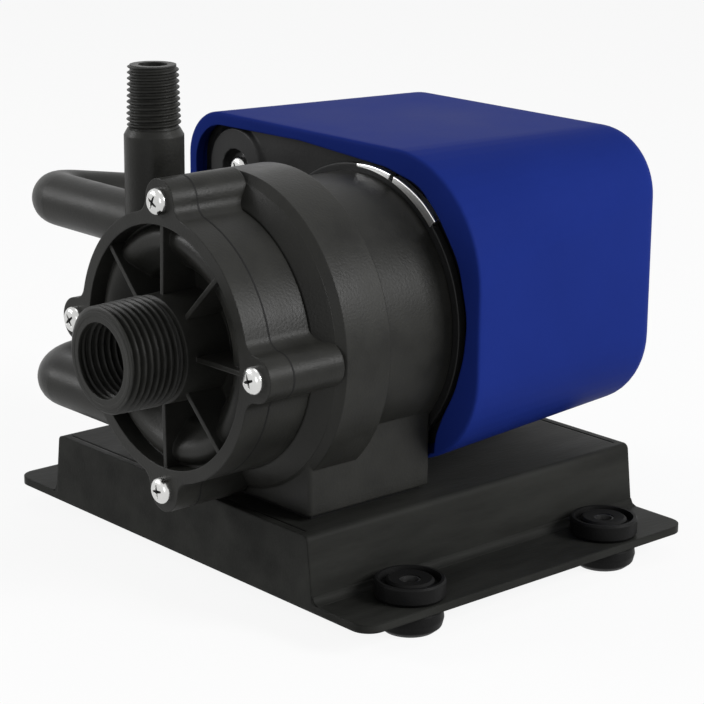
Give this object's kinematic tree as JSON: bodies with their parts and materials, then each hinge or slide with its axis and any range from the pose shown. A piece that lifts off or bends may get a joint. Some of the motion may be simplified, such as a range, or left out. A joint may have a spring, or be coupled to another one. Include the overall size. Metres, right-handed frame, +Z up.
{
  "type": "magnet-drive air conditioner pump",
  "caption": "Small magnet-drive seawater pump for a marine air conditioner: black ribbed wet end, blue motor cover, sheet base on rubber feet.",
  "frame": {"origin": "middle of the four foot bolts, on the floor under the rubber feet", "axes": "+Z up, inlet facing -Y, motor towards +Y, +X to the right seen from behind the inlet, away from the outlet neck"},
  "size_m": [0.1464, 0.1543, 0.1304],
  "materials": {
    "black_plastic": "satin moulded, glass filled",
    "blue_cover": "satin royal blue",
    "base_sheet": "black powder coat",
    "foot_rubber": "matt",
    "seal_rubber": "matt",
    "screw_steel": "bright",
    "plain_steel": "plain",
    "end_alloy": "bright die cast",
    "bracket_metal": "black",
    "lamination": "oiled electrical sheet",
    "coil_tape": "yellow winding tape",
    "bobbin_plastic": "natural nylon",
    "magnet_ferrite": "dark sintered ferrite",
    "ceramic_white": "ground",
    "bush_carbon": "filled carbon",
    "bronze_bush": "sintered",
    "fan_plastic": "moulded"
  },
  "bodies": {
    "pump_frame": {"base_plate": "base_sheet", "foot_front_right": "foot_rubber", "foot_front_left": "foot_rubber", "foot_rear_right": "foot_rubber", "foot_rear_left": "foot_rubber", "foot_sleeves": "plain_steel", "adapter_bracket": "black_plastic", "pedestal_pad": "seal_rubber", "pedestal_screws": "screw_steel", "volute_casing": "black_plastic", "housing_oring": "seal_rubber", "front_cover": "black_plastic", "housing_screws": "screw_steel", "isolation_can": "black_plastic", "spindle": "ceramic_white", "thrust_washer_front": "ceramic_white", "thrust_washer_rear": "ceramic_white", "motor_end_ring": "end_alloy", "end_ring_screws": "screw_steel", "motor_front_bracket": "bracket_metal", "arm_screws": "screw_steel", "stator_core": "lamination", "coil_bobbin": "bobbin_plastic", "coil_winding": "coil_tape", "bearing_front": "bronze_bush", "bearing_rear": "bronze_bush", "motor_rear_bracket": "bracket_metal", "motor_bolts": "plain_steel", "bolt_spacers": "plain_steel", "motor_cover": "blue_cover", "cover_posts": "plain_steel", "cover_screws": "screw_steel", "cable_grommet": "seal_rubber"},
    "drive_rotor": {"motor_shaft": "plain_steel", "rotor_core": "lamination", "drive_hub": "end_alloy", "drive_yoke": "plain_steel", "drive_magnets": "magnet_ferrite", "cooling_fan": "fan_plastic"},
    "impeller_set": {"impeller": "black_plastic", "impeller_bush": "bush_carbon", "impeller_magnet": "magnet_ferrite"}
  },
  "joints": [
    {"name": "drive_spin", "type": "hinge", "parent": "pump_frame", "child": "drive_rotor", "pos_m": [0.017, 0, 0.0665], "axis": [0, -1, 0], "continuous": true},
    {"name": "impeller_spin", "type": "hinge", "parent": "pump_frame", "child": "impeller_set", "pos_m": [0.017, -0.055, 0.0665], "axis": [0, -1, 0], "continuous": true}
  ],
  "couplings": [
    {"joint": "impeller_spin", "follows": "drive_spin", "ratio": 1}
  ]
}
